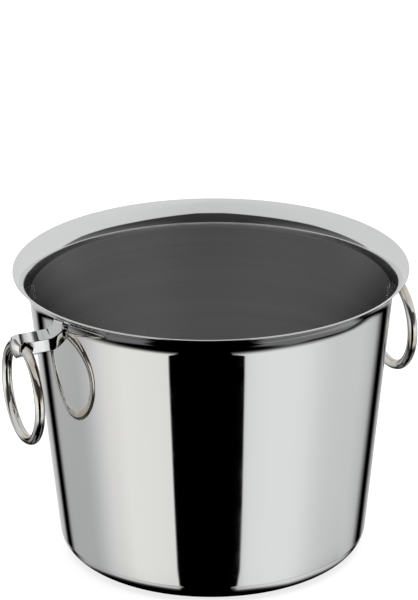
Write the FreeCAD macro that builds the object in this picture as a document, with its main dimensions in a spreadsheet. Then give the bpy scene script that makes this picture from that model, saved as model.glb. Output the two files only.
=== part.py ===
"""Champagne bucket with two hanging ring handles, in millimetres.

The frame is +Z up, with the origin on the bucket's axis in the plane that it stands on, and
the ring posts on the X axis.  Five pieces: the spun bucket body, a hexagonal post welded to
each side, and a round ring that swings in the cross hole of each post.
"""
import FreeCAD, Part

import math
import os

import Sketcher

doc = FreeCAD.newDocument("champagne_bucket")
ORIGIN = FreeCAD.Vector(0, 0, 0)
UP = FreeCAD.Vector(0, 0, 1)

# --------------------------------------------------------------------------------------
# Driving dimensions
# --------------------------------------------------------------------------------------
DIMENSIONS = {
    # body, spun from one sheet
    "sheet": 1.0,
    "height": 176.5,
    "rim_radius": 117.0,
    "wall_top_radius": 107.5,
    "wall_top_height": 162.0,
    "wall_taper": 5.75,
    "base_corner": 12.5,
    "dish_radius": 66.0,
    "dish_rise": 1.2,
    "dish_blend": 6.4,
    # posts, hexagonal bar
    "post_height": 148.5,
    "post_flats": 13.0,
    "post_stock_start": 103.5,
    "post_tip_radius": 128.6,
    "post_dome": 12.5,
    "post_end_waste": 2.0,
    "post_waste_radius": 9.0,
    "cope_reach": 13.0,
    "spigot_diameter": 6.0,
    "spigot_hole": 6.06,
    "spigot_stock": 6.0,
    # rings, round wire
    "ring_eye_radius": 122.2,
    "ring_eye_diameter": 8.7,
    "ring_mean_radius": 28.6,
    "ring_wire": 6.0,
    "ring_drop": 0.5,
    "left_ring_yaw": 4.0,
    "right_ring_yaw": 1.5,
}

dims = doc.addObject("Spreadsheet::Sheet", "dims")
for row, (alias, value) in enumerate(DIMENSIONS.items(), start=1):
    dims.set(f"A{row}", alias)
    dims.set(f"B{row}", str(value))
    dims.setAlias(f"B{row}", alias)
doc.recompute()


def size(alias):
    """The number in the sheet's cell of that name."""
    return float(dims.get(alias))


# --------------------------------------------------------------------------------------
# Sketch helpers
# --------------------------------------------------------------------------------------
START, END, CENTRE = 1, 2, 3     # which point of a sketch element a constraint names
X_AXIS, Y_AXIS = -1, -2          # a sketch's own axes, and its origin is X_AXIS, START
SMALLEST_CUT = 1.0               # mm3 that a cutting feature has to take away
FLARE_SHAPE = 1.8                # first guess of the flare's radius over its reach
FLARE_END = 118                  # first guess of where the flare's arc ends, in degrees


def new_body(label):
    body = doc.addObject("PartDesign::Body", label)
    body.Label = label
    return body


def new_sketch(body, name, plane):
    """A sketch on one of the body's own origin planes, such as XZ_Plane."""
    sketch = body.newObject("Sketcher::SketchObject", name)
    support = [item for item in body.Origin.OriginFeatures if item.Role == plane][0]
    sketch.AttachmentSupport = [(support, "")]
    sketch.MapMode = "FlatFace"
    return sketch


def line(sketch, start, end, construction=False):
    segment = Part.LineSegment(FreeCAD.Vector(*start, 0), FreeCAD.Vector(*end, 0))
    return sketch.addGeometry(segment, construction)


def circle(sketch, centre, radius, construction=False):
    return sketch.addGeometry(Part.Circle(FreeCAD.Vector(*centre, 0), UP, radius), construction)


def arc(sketch, centre, radius, start_degrees, end_degrees):
    """A counter-clockwise arc."""
    full = Part.Circle(FreeCAD.Vector(*centre, 0), UP, radius)
    start, end = math.radians(start_degrees), math.radians(end_degrees)
    return sketch.addGeometry(Part.ArcOfCircle(full, start, end), False)


def relate(sketch, kind, *references):
    sketch.addConstraint(Sketcher.Constraint(kind, *references))


def dimension(sketch, kind, references, name, expression):
    """A dimensional constraint whose value follows an expression of the sheet's cells."""
    value = sketch.evalExpression(expression)
    start = value.getValueAs("rad").Value if kind == "Angle" else float(value)
    index = sketch.addConstraint(Sketcher.Constraint(kind, *references, start))
    sketch.renameConstraint(index, name)
    sketch.setExpression("Constraints." + name, expression)


def finish_sketch(sketch):
    """Solve the sketch, which has to be fully constrained."""
    doc.recompute()
    if sketch.solve() != 0 or not sketch.FullyConstrained:
        raise RuntimeError(f"{sketch.Label} isn't fully constrained")


def volume_drop(body, feature, before):
    """Recompute, and insist that a cutting feature took something away."""
    doc.recompute()
    if body.Shape.Volume > before - SMALLEST_CUT:
        raise RuntimeError(f"{feature.Label} cuts nothing")


# --------------------------------------------------------------------------------------
# Bucket body
# --------------------------------------------------------------------------------------
def body_outline(sketch):
    """Half section of the sheet: dished base, rounded corner, tapered wall, trumpet rim.

    x is the distance from the bucket's axis and y the height.  The outer skin runs from the
    axis to the rim's edge, and the inner skin comes back one sheet thickness inside it, on
    arcs with the same centres.  The numbers here are first guesses, which the constraints
    then settle.
    """
    sheet, taper = size("sheet"), size("wall_taper")
    rise, blend, corner = size("dish_rise"), size("dish_blend"), size("base_corner")
    dish = size("dish_radius")
    swing = math.degrees(math.acos(1 - rise / (2 * blend)))
    step = 2 * blend * math.sin(math.radians(swing))
    wall_top = (size("wall_top_radius"), size("wall_top_height"))
    slope = math.tan(math.radians(taper))
    foot = wall_top[0] - slope * wall_top[1] - corner * math.tan(math.radians((90 - taper) / 2))
    flare = FLARE_SHAPE * (size("rim_radius") - wall_top[0])
    flare_centre = (wall_top[0] + flare, wall_top[1] - flare * slope)

    def skin(inset):
        """One skin of the sheet, as the indices of its elements from the axis outwards."""
        return [
            line(sketch, (0, rise + inset), (dish, rise + inset)),
            arc(sketch, (dish, rise - blend), blend + inset, 90 - swing, 90),
            arc(sketch, (dish + step, blend), blend - inset, -90 - swing, -90),
            line(sketch, (dish + step, inset), (foot, inset)),
            arc(sketch, (foot, corner), corner - inset, -90, -taper),
            line(sketch, (foot + corner - inset, corner), (wall_top[0] - inset, wall_top[1])),
            arc(sketch, flare_centre, flare + inset, FLARE_END, 180 - taper),
        ]

    outer, inner = skin(0), skin(sheet)
    for dish_line, fall, rest, base, corner_arc, wall, flare_arc in (outer, inner):
        relate(sketch, "PointOnObject", dish_line, START, Y_AXIS)
        relate(sketch, "Horizontal", dish_line)
        relate(sketch, "Horizontal", base)
        relate(sketch, "Tangent", dish_line, END, fall, END)
        relate(sketch, "Tangent", fall, START, rest, START)
        relate(sketch, "Tangent", rest, END, base, START)
        relate(sketch, "Tangent", base, END, corner_arc, START)
        relate(sketch, "Tangent", corner_arc, END, wall, START)
        relate(sketch, "Tangent", wall, END, flare_arc, END)
    for position in (1, 2, 4, 6):
        relate(sketch, "Coincident", outer[position], CENTRE, inner[position], CENTRE)
    relate(sketch, "Parallel", outer[5], inner[5])

    # the sheet's cut edge at the rim is square to it, and the section closes on the axis
    edge = line(sketch, (size("rim_radius"), size("height") - sheet),
                (size("rim_radius") - sheet, size("height")))
    relate(sketch, "Coincident", edge, START, outer[6], START)
    relate(sketch, "Coincident", edge, END, inner[6], START)
    relate(sketch, "PointOnObject", outer[6], CENTRE, edge)
    axis = line(sketch, (0, rise), (0, rise + sheet))
    relate(sketch, "Coincident", axis, START, outer[0], START)
    relate(sketch, "Coincident", axis, END, inner[0], START)

    relate(sketch, "PointOnObject", outer[3], START, X_AXIS)
    relate(sketch, "Equal", outer[1], outer[2])
    origin = (X_AXIS, START)
    dimension(sketch, "DistanceY", (*origin, outer[0], START), "dish_rise", "dims.dish_rise")
    dimension(sketch, "DistanceX", (*origin, outer[0], END), "dish_radius", "dims.dish_radius")
    dimension(sketch, "Radius", (outer[1],), "dish_blend", "dims.dish_blend")
    dimension(sketch, "Radius", (outer[4],), "base_corner", "dims.base_corner")
    dimension(sketch, "Angle", (outer[5],), "wall_lean", "90 deg - dims.wall_taper * 1 deg")
    dimension(sketch, "DistanceX", (*origin, outer[5], END), "wall_top_x", "dims.wall_top_radius")
    dimension(sketch, "DistanceY", (*origin, outer[5], END), "wall_top_y", "dims.wall_top_height")
    dimension(sketch, "DistanceX", (*origin, edge, START), "rim_x", "dims.rim_radius")
    dimension(sketch, "DistanceY", (*origin, edge, END), "rim_y", "dims.height")
    dimension(sketch, "DistanceY", (axis, START, axis, END), "sheet", "dims.sheet")
    finish_sketch(sketch)


def bucket_body():
    """One spun sheet, with a round hole through each side for the post's spigot."""
    body = new_body("bucket_body")
    section = new_sketch(body, "body_section", "XZ_Plane")
    body_outline(section)
    spun = body.newObject("PartDesign::Revolution", "body_spun")
    spun.Profile = section
    spun.ReferenceAxis = (section, ["V_Axis"])
    spun.Angle = 360.0
    doc.recompute()

    hole = new_sketch(body, "spigot_hole", "YZ_Plane")
    ring = circle(hole, (0, size("post_height")), size("spigot_hole") / 2)
    relate(hole, "PointOnObject", ring, CENTRE, Y_AXIS)
    dimension(hole, "DistanceY", (X_AXIS, START, ring, CENTRE), "up", "dims.post_height")
    dimension(hole, "Diameter", (ring,), "bore", "dims.spigot_hole")
    finish_sketch(hole)
    before = body.Shape.Volume
    drilled = body.newObject("PartDesign::Pocket", "spigot_holes")
    drilled.Profile = hole
    drilled.Type = "ThroughAll"
    drilled.Midplane = True
    volume_drop(body, drilled, before)
    return body


# --------------------------------------------------------------------------------------
# Ring posts
# --------------------------------------------------------------------------------------
def hexagon(sketch):
    """The bar's section, with a corner up, so that two of its flats are upright."""
    middle = size("post_height")
    corner = size("post_flats") / math.sqrt(3)
    points = []
    for step in range(6):
        turn = math.radians(90 + 60 * step)
        points.append((corner * math.cos(turn), middle + corner * math.sin(turn)))
    guide = circle(sketch, (0, middle), corner, construction=True)
    sides = [line(sketch, points[n], points[(n + 1) % 6]) for n in range(6)]
    for n, side in enumerate(sides):
        relate(sketch, "Coincident", side, END, sides[(n + 1) % 6], START)
        relate(sketch, "PointOnObject", side, START, guide)
        if n:
            relate(sketch, "Equal", sides[0], side)
    relate(sketch, "PointOnObject", guide, CENTRE, Y_AXIS)
    relate(sketch, "PointOnObject", sides[0], START, Y_AXIS)
    dimension(sketch, "DistanceY", (X_AXIS, START, guide, CENTRE), "up", "dims.post_height")
    dimension(sketch, "DistanceX", (sides[1], START, sides[4], START), "flats", "dims.post_flats")
    finish_sketch(sketch)


def cone_section(sketch, inset):
    """Half section of the space inside the wall's skin, from below the post to above it.

    inset is an expression for how far inside the outer skin the skin lies, square to it.
    """
    low = size("post_height") - size("cope_reach")
    high = size("post_height") + size("cope_reach")
    slope = math.tan(math.radians(size("wall_taper")))
    high_radius = size("wall_top_radius") - (size("wall_top_height") - high) * slope
    low_radius = high_radius - (high - low) * slope
    base = line(sketch, (0, low), (low_radius, low))
    wall = line(sketch, (low_radius, low), (high_radius, high))
    top = line(sketch, (high_radius, high), (0, high))
    axis = line(sketch, (0, high), (0, low))
    corners = [base, wall, top, axis]
    for here, following in zip(corners, corners[1:] + corners[:1]):
        relate(sketch, "Coincident", here, END, following, START)
    relate(sketch, "Horizontal", base)
    relate(sketch, "Horizontal", top)
    relate(sketch, "PointOnObject", axis, START, Y_AXIS)
    relate(sketch, "PointOnObject", axis, END, Y_AXIS)
    origin = (X_AXIS, START)
    dimension(sketch, "DistanceY", (*origin, base, START), "low",
              "dims.post_height - dims.cope_reach")
    dimension(sketch, "DistanceY", (*origin, top, END), "high",
              "dims.post_height + dims.cope_reach")
    dimension(sketch, "Angle", (wall,), "lean", "90 deg - dims.wall_taper * 1 deg")
    outer = ("dims.wall_top_radius - (dims.wall_top_height - dims.post_height"
             " - dims.cope_reach) * tan(dims.wall_taper * 1 deg)")
    dimension(sketch, "DistanceX", (*origin, wall, END), "reach",
              f"{outer} - ({inset}) / cos(dims.wall_taper * 1 deg)")
    finish_sketch(sketch)


def cut_to_wall(body, name, inset):
    """Groove about the bucket's axis that trims the post to one skin of the wall."""
    section = new_sketch(body, name + "_section", "XZ_Plane")
    cone_section(section, inset)
    before = body.Shape.Volume
    groove = body.newObject("PartDesign::Groove", name)
    groove.Profile = section
    groove.ReferenceAxis = (section, ["V_Axis"])
    groove.Angle = 360.0
    volume_drop(body, groove, before)


def bar(body, name, draw, length):
    """Pad of a section that draw makes, from inside the wall outwards along X."""
    section = new_sketch(body, name + "_section", "YZ_Plane")
    section.setExpression("AttachmentOffset.Base.z", "dims.post_stock_start")
    draw(section)
    pad = body.newObject("PartDesign::Pad", name)
    pad.Profile = section
    pad.setExpression("Length", length)
    doc.recompute()


def spigot_circle(sketch):
    ring = circle(sketch, (0, size("post_height")), size("spigot_diameter") / 2)
    relate(sketch, "PointOnObject", ring, CENTRE, Y_AXIS)
    dimension(sketch, "DistanceY", (X_AXIS, START, ring, CENTRE), "up", "dims.post_height")
    dimension(sketch, "Diameter", (ring,), "across", "dims.spigot_diameter")
    finish_sketch(sketch)


def turned_end(body):
    """Groove about the bar's own axis that leaves a spherical end."""
    section = new_sketch(body, "turned_end_section", "XZ_Plane")
    middle, tip, dome = size("post_height"), size("post_tip_radius"), size("post_dome")
    spread, waste = size("post_waste_radius"), tip + size("post_end_waste")
    lift = math.degrees(math.asin(spread / dome))
    shoulder = tip - dome + dome * math.cos(math.radians(lift))
    end_arc = arc(section, (tip - dome, middle), dome, 0, lift)
    top = line(section, (shoulder, middle + spread), (waste, middle + spread))
    face = line(section, (waste, middle + spread), (waste, middle))
    centre_line = line(section, (waste, middle), (tip, middle))
    relate(section, "Coincident", end_arc, END, top, START)
    relate(section, "Coincident", top, END, face, START)
    relate(section, "Coincident", face, END, centre_line, START)
    relate(section, "Coincident", centre_line, END, end_arc, START)
    relate(section, "Horizontal", top)
    relate(section, "Vertical", face)
    relate(section, "Horizontal", centre_line)
    relate(section, "PointOnObject", end_arc, CENTRE, centre_line)
    origin = (X_AXIS, START)
    dimension(section, "Radius", (end_arc,), "dome", "dims.post_dome")
    dimension(section, "DistanceX", (*origin, end_arc, START), "tip", "dims.post_tip_radius")
    dimension(section, "DistanceY", (*origin, end_arc, START), "up", "dims.post_height")
    dimension(section, "DistanceX", (centre_line, END, centre_line, START), "waste",
              "dims.post_end_waste")
    dimension(section, "DistanceY", (face, END, face, START), "spread",
              "dims.post_waste_radius")
    axis = line(section, (tip - dome, middle), (tip, middle), construction=True)
    relate(section, "Coincident", axis, START, end_arc, CENTRE)
    relate(section, "Coincident", axis, END, end_arc, START)
    finish_sketch(section)
    before = body.Shape.Volume
    groove = body.newObject("PartDesign::Groove", "turned_end")
    groove.Profile = section
    groove.ReferenceAxis = (section, ["Axis0"])
    groove.Angle = 360.0
    volume_drop(body, groove, before)


def ring_eye(body):
    """The cross hole that the ring hangs in, square to the upright flats."""
    section = new_sketch(body, "ring_eye_section", "XZ_Plane")
    eye = circle(section, (size("ring_eye_radius"), size("post_height")),
                 size("ring_eye_diameter") / 2)
    origin = (X_AXIS, START)
    dimension(section, "DistanceX", (*origin, eye, CENTRE), "out", "dims.ring_eye_radius")
    dimension(section, "DistanceY", (*origin, eye, CENTRE), "up", "dims.post_height")
    dimension(section, "Diameter", (eye,), "bore", "dims.ring_eye_diameter")
    finish_sketch(section)
    before = body.Shape.Volume
    drilled = body.newObject("PartDesign::Pocket", "ring_eye")
    drilled.Profile = section
    drilled.Type = "ThroughAll"
    drilled.Midplane = True
    volume_drop(body, drilled, before)


def ring_post(label, turn):
    """A hexagonal bar, coped to the wall outside, with a spigot that fills the wall's hole.

    turn is the angle about the bucket's axis, in degrees, from +X.
    """
    body = new_body(label)
    bar(body, "hexagonal_bar", hexagon,
        "dims.post_tip_radius + dims.post_end_waste / 2 - dims.post_stock_start")
    cut_to_wall(body, "outer_cope", "0")
    bar(body, "spigot", spigot_circle, "dims.spigot_stock")
    cut_to_wall(body, "flush_inside", "dims.sheet")
    turned_end(body)
    ring_eye(body)
    body.Placement = FreeCAD.Placement(ORIGIN, FreeCAD.Rotation(UP, turn))
    return body


# --------------------------------------------------------------------------------------
# Rings
# --------------------------------------------------------------------------------------
def hanging_ring(label, side, yaw):
    """A closed ring of round wire whose top runs through the post's eye.

    side is 1 at +X and -1 at -X.  The eye is wider than the wire, so the ring hangs turned
    a little about the vertical, clockwise from above by yaw degrees.  The wire curves up
    through the eye, and the middle of that rise lies ring_drop below the eye's centre,
    where the ring's weight takes it.  It swings about that middle.
    """
    ring = doc.addObject("Part::Torus", label)
    ring.Label = label
    ring.setExpression("Radius1", "dims.ring_mean_radius")
    ring.setExpression("Radius2", "dims.ring_wire / 2")
    lay = math.radians(-yaw)
    across = FreeCAD.Vector(-math.sin(lay), math.cos(lay), 0)
    ring.Placement = FreeCAD.Placement(ORIGIN, FreeCAD.Rotation(across, 90))
    ring.setExpression("Placement.Base.x", f"{side} * dims.ring_eye_radius")
    at_the_flats = "sqrt(dims.ring_mean_radius ^ 2 - (dims.post_flats / 2) ^ 2)"
    ring.setExpression("Placement.Base.z",
                       "dims.post_height - dims.ring_drop"
                       f" - (dims.ring_mean_radius + {at_the_flats}) / 2")
    return ring


# --------------------------------------------------------------------------------------
# Assembly
# --------------------------------------------------------------------------------------
pieces = [
    bucket_body(),
    ring_post("right_ring_post", 0),
    ring_post("left_ring_post", 180),
    hanging_ring("right_ring", 1, size("right_ring_yaw")),
    hanging_ring("left_ring", -1, size("left_ring_yaw")),
]
doc.recompute()

for item in doc.Objects:
    if {"Invalid", "Error"} & set(item.State):
        raise RuntimeError(f"{item.Label} failed: {item.State}")
for piece in pieces:
    shape = piece.Shape
    if shape.isNull() or not shape.isValid() or len(shape.Solids) != 1:
        raise RuntimeError(f"{piece.Label} isn't one valid solid")

os.makedirs("parts", exist_ok=True)
for piece in pieces:
    piece.Shape.exportStep(f"parts/{piece.Label}.step")
    box = piece.Shape.BoundBox
    print(f"{piece.Label}: volume {piece.Shape.Volume:.1f} mm3, X {box.XMin:.2f} to {box.XMax:.2f},"
          f" Y {box.YMin:.2f} to {box.YMax:.2f}, Z {box.ZMin:.2f} to {box.ZMax:.2f}")
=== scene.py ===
"""Looks of the champagne bucket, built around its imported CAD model.

The object's dimensions are in millimetres, as in the CAD model, and everything is made in
metres.  The frame is +Z up, with the origin on the bucket's axis in the plane that it stands on
and the posts on the X axis.
"""

import math

import bmesh
import bpy
from mathutils import Matrix, Vector


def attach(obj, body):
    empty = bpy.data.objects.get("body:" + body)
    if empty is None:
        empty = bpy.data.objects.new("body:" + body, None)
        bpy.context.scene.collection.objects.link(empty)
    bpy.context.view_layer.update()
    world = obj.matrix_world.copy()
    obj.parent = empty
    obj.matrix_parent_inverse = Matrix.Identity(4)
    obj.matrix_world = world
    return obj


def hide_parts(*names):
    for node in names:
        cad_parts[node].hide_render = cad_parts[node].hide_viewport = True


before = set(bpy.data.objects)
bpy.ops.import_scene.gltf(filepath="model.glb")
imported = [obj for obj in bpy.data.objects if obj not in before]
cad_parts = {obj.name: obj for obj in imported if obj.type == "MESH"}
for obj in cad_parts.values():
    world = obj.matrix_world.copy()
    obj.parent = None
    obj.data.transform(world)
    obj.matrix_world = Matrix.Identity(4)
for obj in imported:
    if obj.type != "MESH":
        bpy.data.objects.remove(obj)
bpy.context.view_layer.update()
MM = 0.001

# --------------------------------------------------------------------------------------
# Dimensions, in millimetres, as in the CAD model
# --------------------------------------------------------------------------------------
SHEET = 1.0
HEIGHT = 176.5
RIM_RADIUS = 117.0
WALL_TOP = (107.5, 162.0)
TAPER = math.radians(5.75)
BASE_CORNER = 12.5
DISH_RADIUS = 66.0
DISH_RISE = 1.2
DISH_BLEND = 6.4
POST_HEIGHT = 148.5
POST_FLATS = 13.0
POST_TIP = 128.6
POST_DOME = 12.5
EYE_RADIUS = 122.2
EYE_DIAMETER = 8.7
RING_MEAN = 28.6
RING_WIRE = 6.0
RING_DROP = 0.5
LEFT_YAW, RIGHT_YAW = 4.0, 1.5

# the wall's outer radius, carried down to the floor, and the radius at which the base ends
WALL_FOOT = WALL_TOP[0] - WALL_TOP[1] * math.tan(TAPER)
BASE_RADIUS = WALL_FOOT - BASE_CORNER * math.tan((math.pi / 2 - TAPER) / 2)
# half the hexagon across its flats, and the ring's centre below the eye
HALF_FLATS = POST_FLATS / 2
RING_RISE = (RING_MEAN + math.sqrt(RING_MEAN ** 2 - HALF_FLATS ** 2)) / 2
RING_CENTRE_Z = POST_HEIGHT - RING_DROP - RING_RISE

# --------------------------------------------------------------------------------------
# Finish of the edges, in millimetres, and fineness of the meshes
# --------------------------------------------------------------------------------------
RIM_ROUND = 0.42            # how far the rim's cut edge is polished round
POST_CORNER = 0.45          # radius of the hexagon's corners
POST_BLEND = 0.35           # softening where the turned end meets the flats
POST_SUNK = 0.35            # how far the bar reaches into the sheet
POST_ROOT = 105.7           # middle of the bar's inner end, within the sheet
EYE_MOUTH = 0.3             # radius of the eye's two edges
TOOL_PAST, TOOL_FLARE = 3.0, 2.4    # how far the eye's tool stands out past the flats and widens
SHARP = math.radians(28)    # a post's edges stay crisp past this angle

BODY_SEGMENTS = 320
EYE_SEGMENTS = 96
RING_SEGMENTS, WIRE_SEGMENTS = 320, 56
BAR_STATIONS = [112.0, 116.0, 120.0]
DOME_STATIONS = 44
DOME_LEAD, DOME_STOP = 1.2, 0.004   # where they begin before the shoulder and end before the tip
DOME_CROWDING = 1.6
FLAT_STEPS = 8
CORNER_STEPS = 3


# --------------------------------------------------------------------------------------
# Mesh helpers
# --------------------------------------------------------------------------------------
def mesh_object(name, points, faces, smooth=True):
    mesh = bpy.data.meshes.new(name)
    mesh.from_pydata([tuple(p) for p in points], [], [tuple(f) for f in faces])
    mesh.validate()
    mesh.update()
    if smooth:
        mesh.shade_smooth()
    obj = bpy.data.objects.new(name, mesh)
    bpy.context.scene.collection.objects.link(obj)
    return obj


def fix_normals(obj):
    work = bmesh.new()
    work.from_mesh(obj.data)
    bmesh.ops.recalc_face_normals(work, faces=work.faces)
    work.to_mesh(obj.data)
    work.free()


def grid_faces(rows, columns, wrap_rows=False):
    """Faces between rows of points that each close on themselves."""
    faces = []
    for i in range(rows if wrap_rows else rows - 1):
        for j in range(columns):
            following = (j + 1) % columns
            above = ((i + 1) % rows) * columns
            faces.append((i * columns + j, i * columns + following, above + following, above + j))
    return faces


def pole_faces(rows, columns):
    """Fans that close both ends of a grid to the two points that follow its rows."""
    first_pole, last_pole = rows * columns, rows * columns + 1
    last_row = (rows - 1) * columns
    faces = []
    for k in range(columns):
        following = (k + 1) % columns
        faces.append((first_pole, following, k))
        faces.append((last_pole, last_row + k, last_row + following))
    return faces


def circle_row(radius, height, count):
    """A level circle of points about the bucket's axis."""
    return [(radius * MM * math.cos(2 * math.pi * k / count),
             radius * MM * math.sin(2 * math.pi * k / count), height * MM) for k in range(count)]


def arc_points(centre, radius, start, end, count):
    """Points on an arc from one direction to another, in degrees, both ends included."""
    return [(centre[0] + radius * math.cos(math.radians(start + (end - start) * n / count)),
             centre[1] + radius * math.sin(math.radians(start + (end - start) * n / count)))
            for n in range(count + 1)]


def line_points(start, end, count):
    """Points on a line, both ends included."""
    return [(start[0] + (end[0] - start[0]) * n / count,
             start[1] + (end[1] - start[1]) * n / count) for n in range(count + 1)]


def join_points(*runs):
    """The runs end to end, without the points that repeat."""
    out = []
    for run in runs:
        for point in run:
            if not out or math.dist(out[-1], point) > 1e-4:
                out.append(point)
    return out


# --------------------------------------------------------------------------------------
# Bucket body: one spun sheet
# --------------------------------------------------------------------------------------
def flare_arc():
    """Centre, outer radius and end direction of the trumpet rim's arc.

    The arc leaves the wall's top without a kink, and its radius is the one that brings the
    inner edge of the rim to the bucket's height.
    """
    along = Vector((math.cos(-TAPER), math.sin(-TAPER)))
    top = Vector(WALL_TOP)
    low, high = 12.0, 30.0
    for _ in range(60):
        radius = (low + high) / 2
        centre = top + along * radius
        reach = centre.x - RIM_RADIUS
        start = Vector((RIM_RADIUS, centre.y + math.sqrt(radius ** 2 - reach ** 2)))
        away = (start - centre).normalized()
        if start.y + away.y * SHEET < HEIGHT:
            low = radius
        else:
            high = radius
    return centre, radius, math.degrees(math.atan2(away.y, away.x))


def skin(inset, flare):
    """One skin of the sheet as (distance from the axis, height), from the axis to the rim."""
    centre, flare_radius, end = flare
    taper = math.degrees(TAPER)
    swing = math.degrees(math.acos(1 - DISH_RISE / (2 * DISH_BLEND)))
    ring = DISH_RADIUS + 2 * DISH_BLEND * math.sin(math.radians(swing))
    corner = BASE_CORNER - inset
    wall_bottom = (BASE_RADIUS + corner * math.cos(TAPER), BASE_CORNER - corner * math.sin(TAPER))
    wall_top = (WALL_TOP[0] - inset * math.cos(TAPER), WALL_TOP[1] + inset * math.sin(TAPER))
    return join_points(
        line_points((0, DISH_RISE + inset), (DISH_RADIUS, DISH_RISE + inset), 10),
        arc_points((DISH_RADIUS, DISH_RISE - DISH_BLEND), DISH_BLEND + inset, 90, 90 - swing, 6),
        arc_points((ring, DISH_BLEND), DISH_BLEND - inset, 270 - swing, 270, 6),
        line_points((ring, inset), (BASE_RADIUS, inset), 4),
        arc_points((BASE_RADIUS, BASE_CORNER), corner, -90, -taper, 24),
        line_points(wall_bottom, wall_top, 14),
        arc_points(centre, flare_radius + inset, 180 - taper, end, 32))


def body_profile():
    """Closed half section from the middle of the underside, over the rim, to the inside."""
    flare = flare_arc()
    centre, radius, end = flare
    # the cut edge at the rim, polished round
    out = Vector((math.cos(math.radians(end)), math.sin(math.radians(end))))
    ahead = Vector((out.y, -out.x))
    middle = centre + out * (radius + SHEET / 2) - ahead * RIM_ROUND
    edge = []
    for n in range(1, 12):
        turn = math.radians(-90 + 180 * n / 12)
        point = middle + ahead * (RIM_ROUND * math.cos(turn)) + out * (SHEET / 2 * math.sin(turn))
        edge.append((point.x, point.y))
    last = end + math.degrees(RIM_ROUND / radius)

    def short_of_edge(point):
        away = Vector(point) - centre
        on_flare = away.length < radius + 2 * SHEET
        return not on_flare or math.degrees(math.atan2(away.y, away.x)) > last

    outer = [point for point in skin(0, flare) if short_of_edge(point)]
    inner = [point for point in skin(SHEET, flare) if short_of_edge(point)]
    return outer + edge + inner[::-1]


def bucket_body():
    profile = body_profile()
    turned = profile[1:-1]
    points = [p for radius, height in turned for p in circle_row(radius, height, BODY_SEGMENTS)]
    points += [(0, 0, profile[0][1] * MM), (0, 0, profile[-1][1] * MM)]
    faces = grid_faces(len(turned), BODY_SEGMENTS) + pole_faces(len(turned), BODY_SEGMENTS)
    return mesh_object("spun_body", points, faces)


# --------------------------------------------------------------------------------------
# Posts
# --------------------------------------------------------------------------------------
# centre of a corner's round from the bar's axis, and where the round meets the flat, as an
# angle from the corner
CORNER_CENTRE = (HALF_FLATS - POST_CORNER) / math.cos(math.pi / 6)
CORNER_TOUCH = math.atan2(POST_CORNER * math.sin(math.pi / 6),
                          CORNER_CENTRE + POST_CORNER * math.cos(math.pi / 6))


def hexagon_radius(angle):
    """Distance to the side of the hexagon, which has a corner up."""
    # 0 at the nearest corner and 30 degrees either way at the middle of a flat
    local = (angle - math.pi / 2 + math.pi / 6) % (math.pi / 3) - math.pi / 6
    if abs(local) < CORNER_TOUCH:
        across = CORNER_CENTRE * math.sin(local)
        return CORNER_CENTRE * math.cos(local) + math.sqrt(POST_CORNER ** 2 - across ** 2)
    return HALF_FLATS / math.cos(math.pi / 6 - abs(local))


def hexagon_angles():
    """Angles of a section's points: a few round each corner and along each flat."""
    local = [CORNER_TOUCH * n / CORNER_STEPS for n in range(-CORNER_STEPS, CORNER_STEPS + 1)]
    for n in range(1, FLAT_STEPS):
        local.append(CORNER_TOUCH + (math.pi / 3 - 2 * CORNER_TOUCH) * n / FLAT_STEPS)
    return [math.pi / 2 + math.pi / 3 * side + value for side in range(6) for value in local]


def post_section(side, along=None):
    """Points round the bar at a distance from the bucket's axis, or within the wall if None."""
    dome_centre = POST_TIP - POST_DOME
    row = []
    for angle in hexagon_angles():
        radius = hexagon_radius(angle)
        if along is not None and along > dome_centre:
            dome = math.sqrt(max(POST_DOME ** 2 - (along - dome_centre) ** 2, 0))
            near = max(POST_BLEND - abs(radius - dome), 0) / POST_BLEND
            radius = min(radius, dome) - near * near * POST_BLEND / 4
        y, z = radius * math.cos(angle), radius * math.sin(angle)
        x = along
        if along is None:
            wall = WALL_FOOT + (POST_HEIGHT + z) * math.tan(TAPER) - POST_SUNK
            x = math.sqrt(wall ** 2 - y ** 2)
        row.append((side * x * MM, y * MM, (POST_HEIGHT + z) * MM))
    return row


def ring_post(name, side):
    """Hexagonal bar from the wall to its turned end, with the ring's eye bored through it."""
    # sections stand close together towards the tip, where the dome turns fastest
    shoulder = POST_TIP - POST_DOME + math.sqrt(POST_DOME ** 2 - (POST_FLATS / math.sqrt(3)) ** 2)
    start, end = shoulder - DOME_LEAD, POST_TIP - DOME_STOP
    stations = BAR_STATIONS + [start + (end - start) * (1 - (1 - n / DOME_STATIONS) ** DOME_CROWDING)
                               for n in range(DOME_STATIONS + 1)]
    rows = [post_section(side)] + [post_section(side, station) for station in stations]
    points = [point for row in rows for point in row]
    points += [(side * POST_ROOT * MM, 0, POST_HEIGHT * MM), (side * POST_TIP * MM, 0, POST_HEIGHT * MM)]
    faces = grid_faces(len(rows), len(rows[0])) + pole_faces(len(rows), len(rows[0]))
    post = mesh_object(name, points, faces, smooth=False)
    fix_normals(post)
    bore(post, side)
    return post


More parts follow.
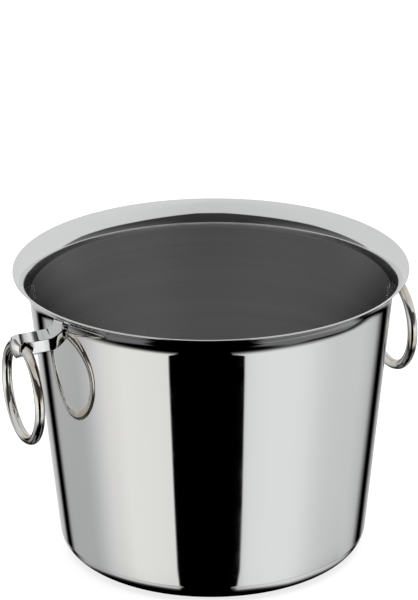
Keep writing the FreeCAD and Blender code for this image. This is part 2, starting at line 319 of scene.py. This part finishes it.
def bore(post, side):
    """Cut the eye with a tool whose ends flare, which rounds the eye's two mouths."""
    radius = EYE_DIAMETER / 2
    mouth = (-HALF_FLATS + EYE_MOUTH, radius + EYE_MOUTH)
    profile = [(-HALF_FLATS - TOOL_PAST, radius + EYE_MOUTH + TOOL_FLARE),
               (-HALF_FLATS - 0.02, radius + EYE_MOUTH)]
    profile += arc_points(mouth, EYE_MOUTH, 180, 270, 8)[1:]
    profile += [(-2.0, radius)]
    profile += [(-y, r) for y, r in reversed(profile)]
    points = []
    for y, r in profile:
        for k in range(EYE_SEGMENTS):
            turn = 2 * math.pi * k / EYE_SEGMENTS
            points.append(((side * EYE_RADIUS + r * math.cos(turn)) * MM, y * MM,
                           (POST_HEIGHT + r * math.sin(turn)) * MM))
    faces = grid_faces(len(profile), EYE_SEGMENTS)
    faces.append(tuple(range(EYE_SEGMENTS)))
    faces.append(tuple(range(len(points) - EYE_SEGMENTS, len(points)))[::-1])
    tool = mesh_object("bore_tool", points, faces, smooth=False)
    fix_normals(tool)
    cut = post.modifiers.new("bore", "BOOLEAN")
    cut.operation = "DIFFERENCE"
    cut.solver = "EXACT"
    cut.object = tool
    depsgraph = bpy.context.evaluated_depsgraph_get()
    mesh = bpy.data.meshes.new_from_object(post.evaluated_get(depsgraph))
    post.modifiers.clear()
    post.data = mesh
    bpy.data.objects.remove(tool)
    mesh.shade_smooth()
    mesh.set_sharp_from_angle(angle=SHARP)


# --------------------------------------------------------------------------------------
# Rings
# --------------------------------------------------------------------------------------
def hanging_ring(name, side, yaw):
    """Closed ring of round wire, turned in its eye by the yaw, in degrees."""
    turn = math.radians(-yaw)
    wire_way = Vector((-math.sin(turn), math.cos(turn), 0))
    normal = Vector((math.cos(turn), math.sin(turn), 0))
    centre = Vector((side * EYE_RADIUS, 0, RING_CENTRE_Z))
    points = []
    for i in range(RING_SEGMENTS):
        a = 2 * math.pi * i / RING_SEGMENTS
        out = wire_way * math.sin(a) + Vector((0, 0, 1)) * math.cos(a)
        for j in range(WIRE_SEGMENTS):
            b = 2 * math.pi * j / WIRE_SEGMENTS
            point = centre + out * (RING_MEAN + RING_WIRE / 2 * math.cos(b)) \
                + normal * (RING_WIRE / 2 * math.sin(b))
            points.append(tuple(point * MM))
    ring = mesh_object(name, points, grid_faces(RING_SEGMENTS, WIRE_SEGMENTS, wrap_rows=True))
    fix_normals(ring)
    return ring


# --------------------------------------------------------------------------------------
# Node helpers
# --------------------------------------------------------------------------------------
class Tree:
    """Short ways to add and link shader nodes."""

    def __init__(self, tree):
        self.nodes, self.links = tree.nodes, tree.links
        self.nodes.clear()

    def add(self, kind, settings=None, **inputs):
        node = self.nodes.new(kind)
        for key, value in (settings or {}).items():
            setattr(node, key, value)
        for key, value in inputs.items():
            self.plug(node.inputs[key.replace("_", " ")], value)
        return node

    def plug(self, socket, value):
        """Link a socket, or set a plain value on it."""
        if hasattr(value, "is_linked"):
            self.links.new(value, socket)
        else:
            socket.default_value = value

    def math(self, operation, *values):
        node = self.add("ShaderNodeMath", {"operation": operation})
        for socket, value in zip(node.inputs, values):
            self.plug(socket, value)
        return node.outputs[0]

    def length(self, a, b):
        """Length of the two sides' diagonal."""
        return self.math("SQRT", self.math("ADD", self.math("MULTIPLY", a, a),
                                           self.math("MULTIPLY", b, b)))

    def step(self, value, low, high, start=0.0, end=1.0):
        """Smooth step from start to end while value goes from low to high."""
        node = self.add("ShaderNodeMapRange", {"interpolation_type": "SMOOTHSTEP"})
        for key, item in (("Value", value), ("From Min", low), ("From Max", high),
                          ("To Min", start), ("To Max", end)):
            self.plug(node.inputs[key], item)
        return node.outputs["Result"]

    def ramp(self, value, stops):
        """Colour ramp through (position, colour) stops; a plain number is a grey."""
        node = self.add("ShaderNodeValToRGB", Fac=value)
        elements = node.color_ramp.elements
        while len(elements) < len(stops):
            elements.new(1.0)
        for element, (position, colour) in zip(elements, stops):
            element.position = position
            if not hasattr(colour, "__len__"):
                colour = (colour, colour, colour)
            element.color = (*colour, 1.0)
        return node.outputs["Color"]

    def mix(self, factor, a, b):
        node = self.add("ShaderNodeMix", {"data_type": "RGBA"}, Factor=factor)
        for socket, value in ((node.inputs[6], a), (node.inputs[7], b)):
            if not hasattr(value, "is_linked") and not hasattr(value, "__len__"):
                value = (value, value, value, 1.0)
            self.plug(socket, value)
        return node.outputs[2]

    def scale(self, colour, factor):
        node = self.add("ShaderNodeVectorMath", {"operation": "SCALE"}, Scale=factor)
        self.plug(node.inputs[0], colour)
        return node.outputs[0]

    def multiply(self, a, b):
        """Product of two colours."""
        node = self.add("ShaderNodeVectorMath", {"operation": "MULTIPLY"})
        self.plug(node.inputs[0], a)
        self.plug(node.inputs[1], b)
        return node.outputs[0]

    def grey(self, value):
        return self.add("ShaderNodeCombineColor", Red=value, Green=value, Blue=value).outputs[0]

    def noise(self, vector, scale, detail=2.0, roughness=0.5):
        node = self.add("ShaderNodeTexNoise", Vector=vector, Scale=scale, Detail=detail,
                        Roughness=roughness)
        return node.outputs["Fac"]

    def place(self):
        """The point being shaded, in metres."""
        return self.add("ShaderNodeTexCoord").outputs["Object"]


def new_material(name):
    material = bpy.data.materials.new(name)
    material.use_nodes = True
    tree = Tree(material.node_tree)
    shader = tree.add("ShaderNodeBsdfPrincipled")
    output = tree.add("ShaderNodeOutputMaterial")
    tree.links.new(shader.outputs[0], output.inputs["Surface"])
    return material, tree, shader


# --------------------------------------------------------------------------------------
# Materials
# --------------------------------------------------------------------------------------
BODY_GREY = (0.84, 0.845, 0.85)
POST_GREY = (0.83, 0.835, 0.84)
RING_GREY = (0.80, 0.79, 0.76)
RING_TARNISH = (0.66, 0.585, 0.48)
# roughness between the clearest and the haziest spots
BODY_POLISH = (0.03, 0.055)
STOCK_POLISH = (0.0315, 0.0675)
# inside: where the satin ends, half the width of that edge, and how it takes the light
SATIN_TOP = 162.4
SATIN_EDGE = 2.4
SATIN_GREY = 0.45
SATIN_ROUGH = 0.32
SATIN_GRAZE = 0.02


def haze(tree, place, polish):
    """Roughness of a polished skin, with its fine haze."""
    return tree.step(tree.noise(place, 90.0, 3.0), 0.3, 0.8, *polish)


def swell(tree, place, **under):
    """Normal with the slight swell of a polished skin, 0.01 mm deep."""
    waves = tree.noise(place, 14.0, 1.0)
    return tree.add("ShaderNodeBump", Height=waves, Distance=0.01 * MM, Strength=1.0,
                    **under).outputs[0]


def polished(name, colour, tarnish=None):
    """Mirror-polished stock, with warm patches where it has tarnished."""
    material, tree, shader = new_material(name)
    place = tree.place()
    shader.inputs["Metallic"].default_value = 1.0
    shader.inputs["Base Color"].default_value = (*colour, 1.0)
    if tarnish:
        patches = tree.step(tree.noise(place, 55.0, 2.0), 0.42, 0.66)
        tree.plug(shader.inputs["Base Color"], tree.mix(patches, (*colour, 1.0), (*tarnish, 1.0)))
    tree.plug(shader.inputs["Roughness"], haze(tree, place, STOCK_POLISH))
    tree.plug(shader.inputs["Normal"], swell(tree, place))
    return material


def inner_skin(tree, radius, z):
    """1 on the sheet's inner skin and 0 on its outer one, up to the flare."""
    # depth below the outer skin, along the wall and round the base's corner
    wall = tree.math("MULTIPLY_ADD", z, math.tan(TAPER), WALL_FOOT * MM)
    wall_depth = tree.math("SUBTRACT", wall, radius)
    reach = tree.math("MAXIMUM", tree.math("SUBTRACT", radius, BASE_RADIUS * MM), 0.0)
    drop = tree.math("SUBTRACT", z, BASE_CORNER * MM)
    corner_depth = tree.math("SUBTRACT", BASE_CORNER * MM, tree.length(reach, drop))
    corner_top = BASE_CORNER * (1 - math.sin(TAPER))
    on_wall = tree.step(z, (corner_top - 0.05) * MM, (corner_top + 0.05) * MM)
    on_corner = tree.math("SUBTRACT", 1.0, on_wall)
    depth = tree.math("ADD", tree.math("MULTIPLY", wall_depth, on_wall),
                      tree.math("MULTIPLY", corner_depth, on_corner))
    inside = tree.step(depth, 0.4 * MM, 0.6 * MM)
    # the raised dish's underside is as deep, so on the base the skins are told by their height
    above_dish = tree.step(z, 1.6 * MM, 1.9 * MM)
    above_ring = tree.math("MULTIPLY", tree.step(z, 0.5 * MM, 0.6 * MM),
                           tree.step(radius, 69 * MM, 70 * MM))
    return tree.math("MULTIPLY", inside, tree.math("MAXIMUM", above_dish, above_ring))


def brushed(tree, around, radius, z, turns, fineness, detail, roughness):
    """Noise stretched along the circle, as brushing on the spinning bucket leaves it."""
    lines = tree.add("ShaderNodeCombineXYZ", X=tree.math("MULTIPLY", around, turns),
                     Y=tree.math("MULTIPLY", z, fineness), Z=tree.math("MULTIPLY", radius, fineness))
    return tree.noise(lines.outputs[0], 1.0, detail, roughness)


def body_metal():
    """Mirror-polished outside and rim, satin inside from the root of the flare down."""
    material, tree, shader = new_material("body_metal")
    place = tree.place()
    x, y, z = tree.add("ShaderNodeSeparateXYZ", Vector=place).outputs
    radius = tree.length(x, y)
    top = tree.math("MULTIPLY_ADD", tree.noise(place, 60.0, 2.0), 0.6 * MM, SATIN_TOP * MM)
    below_flare = tree.step(tree.math("SUBTRACT", z, top), -SATIN_EDGE * MM, SATIN_EDGE * MM, 1.0, 0.0)
    satin = tree.math("MULTIPLY", inner_skin(tree, radius, z), below_flare)

    around = tree.math("ARCTAN2", y, x)
    lines = brushed(tree, around, radius, z, turns=0.6, fineness=1600.0, detail=3.0, roughness=0.6)
    bands = brushed(tree, around, radius, z, turns=0.3, fineness=120.0, detail=2.0, roughness=0.5)
    tone = tree.math("MULTIPLY_ADD", lines, 0.16, tree.math("MULTIPLY", bands, 0.10))
    satin_colour = tree.grey(tree.math("ADD", tone, SATIN_GREY - 0.13))
    tree.plug(shader.inputs["Base Color"], tree.mix(satin, (*BODY_GREY, 1.0), satin_colour))
    shader.inputs["Metallic"].default_value = 1.0
    mirror_part = tree.math("MULTIPLY", haze(tree, place, BODY_POLISH),
                            tree.math("SUBTRACT", 1.0, satin))
    satin_part = tree.math("MULTIPLY", tree.math("MULTIPLY_ADD", lines, 0.12, SATIN_ROUGH), satin)
    tree.plug(shader.inputs["Roughness"], tree.math("ADD", mirror_part, satin_part))
    # the satin loses brightness towards grazing views, the mirror doesn't
    tree.plug(shader.inputs["Specular Tint"], tree.mix(satin, 1.0, SATIN_GRAZE))
    shader.inputs["Anisotropic"].default_value = 0.98
    shader.inputs["Anisotropic Rotation"].default_value = 0.25
    tangent = tree.add("ShaderNodeTangent", {"direction_type": "RADIAL", "axis": "Z"})
    tree.plug(shader.inputs["Tangent"], tangent.outputs[0])
    grain = tree.add("ShaderNodeBump", Height=tree.math("MULTIPLY", lines, satin),
                     Distance=0.02 * MM, Strength=0.6)
    tree.plug(shader.inputs["Normal"], swell(tree, place, Normal=grain.outputs[0]))
    return material


# --------------------------------------------------------------------------------------
# Camera.  Places are in metres, the lens and the sensor in millimetres.
# --------------------------------------------------------------------------------------
CAMERA_AZIMUTH = math.radians(-26.5)
CAMERA_ELEVATION = math.radians(21.59)
CAMERA_DISTANCE = 1.918
TARGET_HEIGHT = 0.1543
AIM_LEFT = 0.00124
ROLL = math.radians(-0.445)
LENS = 194.46
SENSOR = 36.0


def camera():
    data = bpy.data.cameras.new("camera")
    obj = bpy.data.objects.new("camera", data)
    bpy.context.scene.collection.objects.link(obj)
    data.sensor_fit = "VERTICAL"
    data.sensor_height = SENSOR
    data.lens = LENS
    data.clip_start, data.clip_end = 0.05, 60.0
    back = Vector((math.sin(CAMERA_AZIMUTH) * math.cos(CAMERA_ELEVATION),
                   -math.cos(CAMERA_AZIMUTH) * math.cos(CAMERA_ELEVATION),
                   math.sin(CAMERA_ELEVATION)))
    right = Vector((math.cos(CAMERA_AZIMUTH), math.sin(CAMERA_AZIMUTH), 0))
    target = Vector((0, 0, TARGET_HEIGHT)) - right * AIM_LEFT
    turn = back.to_track_quat("Z", "Y").to_matrix().to_4x4()
    obj.matrix_world = Matrix.Translation(target + back * CAMERA_DISTANCE) @ turn \
        @ Matrix.Rotation(ROLL, 4, "Z")
    bpy.context.scene.camera = obj


# --------------------------------------------------------------------------------------
# Studio.  Stops are (azimuth, value), in degrees from the side the photograph is taken
# from, positive to its right.  A grey value is a brightness unless its comment says
# otherwise.
# --------------------------------------------------------------------------------------
def seen_from_front(tree, x, y):
    """Azimuth of a direction or place in degrees, and a maker of ramps over it."""
    sin_a, cos_a = math.sin(CAMERA_AZIMUTH), math.cos(CAMERA_AZIMUTH)
    ahead = tree.math("ADD", tree.math("MULTIPLY", x, sin_a), tree.math("MULTIPLY", y, -cos_a))
    right = tree.math("ADD", tree.math("MULTIPLY", x, cos_a), tree.math("MULTIPLY", y, sin_a))
    azimuth = tree.math("ARCTAN2", right, ahead)
    turn = tree.math("MULTIPLY_ADD", azimuth, 0.5 / math.pi, 0.5)   # 0..1, 0.5 in front

    def around(stops):
        return tree.ramp(turn, [((a + 180) / 360, value) for a, value in stops])

    return tree.math("MULTIPLY", azimuth, 180 / math.pi), around


# Soft panels round the bucket, brightest in front.  About half of these values copy the
# photograph's brightness by reflected direction, and the other ramps are fitted to it too.
# This is an open failure.
PANELS = [
    (-180, 0.67), (-168, 0.66), (-156, 0.47), (-150, 0.40), (-136, 0.41), (-126, 0.44),
    (-102, 0.455), (-94, 0.53), (-86, 0.65), (-78, (0.773, 0.762, 0.74)),
    (-62, (0.87, 0.86, 0.828)), (-38, (0.845, 0.835, 0.802)), (-29, (0.82, 0.81, 0.785)),
    (15, 0.62), (19, 0.66), (22, 0.69), (25, 0.77), (30, 0.805), (44, 0.835),
    (60, 0.825), (68, 0.80), (76, 0.74), (84, 0.69), (92, 0.66), (116, 0.63), (126, 0.58),
    (134, 0.50), (150, 0.40), (160, 0.42), (170, 0.46), (180, 0.55)]
# the share by which they are brighter above the height that the wall shows
PANEL_GLOW = [(-180, 0.0), (-135, 0.30), (-108, 0.75), (-96, 0.85), (-86, 0.60), (-76, 0.30),
              (-62, 0.20), (60, 0.22), (80, 0.30), (110, 0.30), (140, 0.0), (180, 0.0)]
# heights between which they fade towards the floor, as 1 + elevation / 100 degrees
FADE_END = [(-180, 0.42), (-110, 0.42), (-90, 0.43), (-50, 0.44), (-35, 0.44), (27, 0.38),
            (50, 0.37), (70, 0.37), (84, 0.42), (95, 0.50), (112, 0.57), (180, 0.57)]
FADE_START = [(-180, 0.67), (-75, 0.67), (-50, 0.63), (-35, 0.63), (27, 0.62), (50, 0.62),
              (70, 0.655), (84, 0.67), (112, 0.69), (180, 0.69)]
# the far floor behind the bucket: its brightness, and its heights as above
FAR_FLOOR = [(-180, 0.04), (-155, 0.11), (-130, 0.16), (-90, 0.14), (-80, 0.14), (120, 0.165),
             (135, 0.27), (150, 0.29), (165, 0.17), (180, 0.04)]
FAR_FLOOR_BOTTOM = [(-180, 0.30), (-40, 0.30), (60, 0.255), (180, 0.255)]
FAR_FLOOR_TOP = [(-180, 0.455), (90, 0.455), (114, 0.58), (180, 0.58)]
# the dark room over the panels, at their height and further up
ROOM_LOW = [(-180, 0.60), (-125, 0.50), (-110, 0.20), (-60, 0.12), (-35, 0.07), (-22, 0.03),
            (16, 0.03), (30, 0.07), (60, 0.12), (105, 0.20), (125, 0.50), (180, 0.60)]
ROOM_HIGH = [(-180, 0.60), (-125, 0.50), (-105, 0.05), (0, 0.036), (105, 0.05), (125, 0.50),
             (180, 0.60)]
# the ceiling panel, and the height of its edge as 0.3 + elevation / 100 degrees
CEILING = [(-180, 0.70), (-120, 0.71), (-80, 0.69), (-50, 0.665), (0, 0.655),
           (25, 0.66), (60, 0.71), (110, 0.745), (150, 0.74), (180, 0.70)]
CEILING_EDGE = [(-180, 0.16), (-130, 0.25), (-110, 0.38), (-90, 0.47), (-70, 0.55), (-50, 0.60),
                (-30, 0.65), (-10, 0.705), (10, 0.705), (30, 0.63), (50, 0.56), (70, 0.515),
                (90, 0.45), (110, 0.32), (125, 0.22), (180, 0.16)]


def gap(tree, azimuth, centre, dark, clear):
    """0 within dark degrees of a gap's centre, rising to 1 at clear degrees."""
    away = tree.math("ABSOLUTE", tree.math("SUBTRACT", azimuth, centre))
    return tree.step(away, dark, clear)


def lit_panels(tree, azimuth, elevation, around):
    """The panels, with a gap behind each shoulder of the bucket and the dark stand in front."""
    gaps = tree.math("MULTIPLY", gap(tree, azimuth, -143.5, 2.5, 11.0),
                     gap(tree, azimuth, 148.0, 2.5, 16.0))
    panels = tree.scale(around(PANELS), gaps)
    glow = tree.math("MULTIPLY", tree.step(elevation, -31, -20), around(PANEL_GLOW))
    panels = tree.scale(panels, tree.math("ADD", glow, 1.0))

    # the stand narrows towards the floor
    sink = tree.math("SUBTRACT", -36.5, elevation)
    sink = tree.math("MINIMUM", tree.math("MAXIMUM", sink, 0.0), 8.0)
    past_left = tree.math("SUBTRACT", azimuth, tree.math("MULTIPLY_ADD", sink, 0.4, -28.6))
    past_right = tree.math("SUBTRACT", azimuth, tree.math("MULTIPLY_ADD", sink, -0.85, 22.0))
    clear = tree.math("MAXIMUM", tree.step(past_left, -0.8, 0.8, 1.0, 0.0),
                      tree.step(past_right, -0.8, 0.8))
    return tree.scale(panels, clear)


def far_floor(tree, azimuth, elevation, depth, around):
    """The grey floor behind the bucket."""
    lean = tree.math("SUBTRACT", tree.math("MULTIPLY_ADD", elevation, -0.93, -50.2), azimuth)
    behind = tree.math("MAXIMUM", tree.step(lean, 86, 104), tree.step(azimuth, 52, 80))
    grey = tree.math("MULTIPLY", behind, around(FAR_FLOOR))
    over = tree.math("SUBTRACT", depth, around(FAR_FLOOR_TOP))
    grey = tree.math("MULTIPLY", grey, tree.step(over, -0.025, 0.025, 1.0, 0.0))
    over = tree.math("SUBTRACT", depth, around(FAR_FLOOR_BOTTOM))
    grey = tree.math("MULTIPLY", grey, tree.step(over, -0.02, 0.015))
    return tree.scale((1.0, 1.0, 1.0), grey)


def dark_room(tree, azimuth, elevation, around):
    """The room between the panels and the ceiling, with a thin line over each shoulder."""
    room = tree.mix(tree.step(elevation, 2, 26), around(ROOM_LOW), around(ROOM_HIGH))
    shoulder = tree.math("SUBTRACT", tree.math("ABSOLUTE", azimuth), 160.5)
    line = tree.math("MULTIPLY", tree.step(tree.math("ABSOLUTE", shoulder), 0.4, 2.2, 1.0, 0.0),
                     tree.math("MULTIPLY", tree.step(elevation, 2, 5),
                               tree.step(elevation, 12, 15, 1.0, 0.0)))
    return tree.scale(room, tree.math("MULTIPLY_ADD", line, -0.7, 1.0))


def paint_room():
    """World painted by direction; straight views of it are white."""
    world = bpy.data.worlds.new("studio")
    bpy.context.scene.world = world
    world.use_nodes = True
    tree = Tree(world.node_tree)
    way = tree.add("ShaderNodeTexCoord").outputs["Generated"]
    way = tree.add("ShaderNodeVectorMath", {"operation": "NORMALIZE"}, Vector=way).outputs[0]
    x, y, z = tree.add("ShaderNodeSeparateXYZ", Vector=way).outputs
    azimuth, around = seen_from_front(tree, x, y)
    elevation = tree.math("MULTIPLY", tree.math("ARCSINE", z), 180 / math.pi)
    depth = tree.math("MULTIPLY_ADD", elevation, 0.01, 1.0)

    panels = lit_panels(tree, azimuth, elevation, around)
    shown = tree.math("POWER", tree.step(depth, around(FADE_END), around(FADE_START)), 2.0)
    low = tree.mix(shown, far_floor(tree, azimuth, elevation, depth, around), panels)
    room = dark_room(tree, azimuth, elevation, around)
    colour = tree.mix(tree.step(elevation, -10, 6), low, room)
    edge = tree.math("MULTIPLY_ADD", around(CEILING_EDGE), 100.0, -30.0)
    above_edge = tree.step(tree.math("SUBTRACT", elevation, edge), -1.2, 1.2)
    colour = tree.mix(above_edge, colour, around(CEILING))
    straight = tree.add("ShaderNodeLightPath").outputs["Is Camera Ray"]
    colour = tree.mix(straight, colour, (1.0, 1.0, 1.0, 1.0))
    background = tree.add("ShaderNodeBackground", Color=colour, Strength=1.0)
    output = tree.add("ShaderNodeOutputWorld")
    tree.links.new(background.outputs[0], output.inputs["Surface"])


# in metres; the floor and the card with the painted reflection of it lie a hair under the base
FLOOR_HALF = 12.0
FLOOR_DROP = 0.0002
NEAR_DROP = 0.0001


def lay_floor():
    """Pale floor, lit from within so that it stays even; mirrors see the painted room instead."""
    corners = [(-FLOOR_HALF, -FLOOR_HALF, 0), (FLOOR_HALF, -FLOOR_HALF, 0),
               (FLOOR_HALF, FLOOR_HALF, 0), (-FLOOR_HALF, FLOOR_HALF, 0)]
    floor = mesh_object("floor", corners, [(0, 1, 2, 3)], smooth=False)
    floor.location.z = -FLOOR_DROP
    material, tree, shader = new_material("floor")
    grain = tree.noise(tree.place(), 40.0, 3.0)
    tree.plug(shader.inputs["Base Color"], tree.grey(tree.step(grain, 0.2, 0.8, 0.22, 0.24)))
    shader.inputs["Roughness"].default_value = 0.9
    shader.inputs["Specular IOR Level"].default_value = 0.0
    shader.inputs["Emission Color"].default_value = (1.0, 1.0, 1.0, 1.0)
    shader.inputs["Emission Strength"].default_value = 0.80
    floor.data.materials.append(material)
    floor.visible_glossy = False


# a glowing ring card that paints the floor's reflection in the base's corner: painted light and a
# painted contact shadow
NEAR_FLOOR = (60.0, 106.0)      # inner and outer radius, in millimetres
NEAR_SEGMENTS = 128
# where the painted light ends, as 90 mm and this share of 12 mm more
NEAR_END = [(-180, 0.4), (-90, 0.46), (-75, 0.62), (-60, 0.8), (-45, 1.0), (-30, 1.0), (0, 1.0),
            (30, 1.0), (45, 1.0), (60, 0.86), (75, 0.7), (90, 0.54), (110, 0.44), (180, 0.4)]
# how far the painted light reaches in under the base, as a share of 10 mm
NEAR_REACH = [(-180, 0.6), (-90, 1.0), (-62, 1.0), (-50, 0.82), (-37, 0.6), (-23, 0.5),
              (17, 0.66), (31, 1.0), (46, 1.0), (60, 0.95), (90, 0.8), (180, 0.6)]
# brightness of the painted light round the base; the dark stretches are painted shade in the reflection
NEAR_PAINTED_LIGHT = [(-180, 0.5), (-90, 0.60), (-78, 0.40), (-74, 0.03), (-70, 0.03), (-62, 0.42),
            (-51, 0.45), (-43, 0.65), (-37, 0.78), (-23, 0.84), (-14.3, 0.80),
            (-13.0, 0.0), (8.2, 0.0), (9.5, 0.64), (17, 0.78), (31, 0.81), (41, 0.70),
            (52, 0.64), (64, 0.52), (72, 0.03), (76, 0.03), (86, 0.5), (180, 0.5)]
# painted contact shadow: brightness from deep under the base outwards, over a stretch of 12.5 mm
NEAR_PAINTED_SHADOW = [(0.08, 0.0), (0.24, 0.05), (0.36, 0.25), (0.46, 0.55), (0.6, 0.82), (0.85, 0.97)]


def paint_floor_reflection():
    """Painted reflection of the floor close to the base, a glowing ring that only the base's corner
    mirrors: painted light, with a painted contact shadow and painted dark patches.
    """
    rim = [point for radius in NEAR_FLOOR for point in circle_row(radius, 0.0, NEAR_SEGMENTS)]
    near = mesh_object("painted_floor_reflection", rim, grid_faces(2, NEAR_SEGMENTS), smooth=False)
    near.location.z = -NEAR_DROP
    material = bpy.data.materials.new("painted_floor_reflection")
    material.use_nodes = True
    tree = Tree(material.node_tree)
    x, y, _ = tree.add("ShaderNodeSeparateXYZ", Vector=tree.place()).outputs
    _, around = seen_from_front(tree, x, y)
    distance = tree.math("MULTIPLY", tree.length(x, y), 1000.0)
    past = tree.math("SUBTRACT", distance, tree.math("MULTIPLY_ADD", around(NEAR_END), 12.0, 90.0))
    within = tree.math("ADD", past, tree.math("MULTIPLY_ADD", around(NEAR_REACH), 10.0, -5.0))
    lit = tree.ramp(tree.math("MULTIPLY_ADD", within, 0.08, 0.8), NEAR_PAINTED_SHADOW)
    glow = tree.add("ShaderNodeEmission", Color=tree.multiply(lit, around(NEAR_PAINTED_LIGHT)), Strength=1.0)
    # seen only from as near as the corner is, in metres, and fading out at its end
    length = tree.add("ShaderNodeLightPath").outputs["Ray Length"]
    shown = tree.math("MULTIPLY", tree.step(past, -2.5, 1.0, 1.0, 0.0),
                      tree.step(length, 0.035, 0.05, 1.0, 0.0))
    clear = tree.add("ShaderNodeBsdfTransparent")
    blend = tree.add("ShaderNodeMixShader", Fac=shown)
    tree.links.new(clear.outputs[0], blend.inputs[1])
    tree.links.new(glow.outputs[0], blend.inputs[2])
    surface = tree.add("ShaderNodeOutputMaterial")
    tree.links.new(blend.outputs[0], surface.inputs["Surface"])
    near.data.materials.append(material)
    near.visible_camera = False
    near.visible_diffuse = False
    near.visible_shadow = False


def overhead_light():
    """Soft light for the floor; mirrors don't see it."""
    light = bpy.data.lights.new("overhead", "AREA")
    light.shape, light.size = "DISK", 3.0
    light.energy = 110.0
    lamp = bpy.data.objects.new("overhead", light)
    lamp.location = (0, 0, 2.5)
    lamp.visible_glossy = False
    lamp.visible_camera = False
    bpy.context.scene.collection.objects.link(lamp)


# --------------------------------------------------------------------------------------
# Assembly
# --------------------------------------------------------------------------------------
metal = body_metal()
body = bucket_body()
body.data.materials.append(metal)
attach(body, "bucket")
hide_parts("bucket_body")

post_metal = polished("post_metal", POST_GREY)
ring_metal = polished("ring_metal", RING_GREY, tarnish=RING_TARNISH)
for label, side, yaw in (("left", -1, LEFT_YAW), ("right", 1, RIGHT_YAW)):
    post = ring_post(f"{label}_post", side)
    post.data.materials.append(post_metal)
    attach(post, "bucket")
    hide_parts(f"{label}_ring_post")
    ring = hanging_ring(f"{label}_handle_ring", side, yaw)
    ring.data.materials.append(ring_metal)
    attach(ring, f"{label}_handle")
    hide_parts(f"{label}_ring")

camera()
paint_room()
lay_floor()
paint_floor_reflection()
overhead_light()
bpy.context.scene.view_settings.view_transform = "Standard"
bpy.context.scene.view_settings.look = "None"
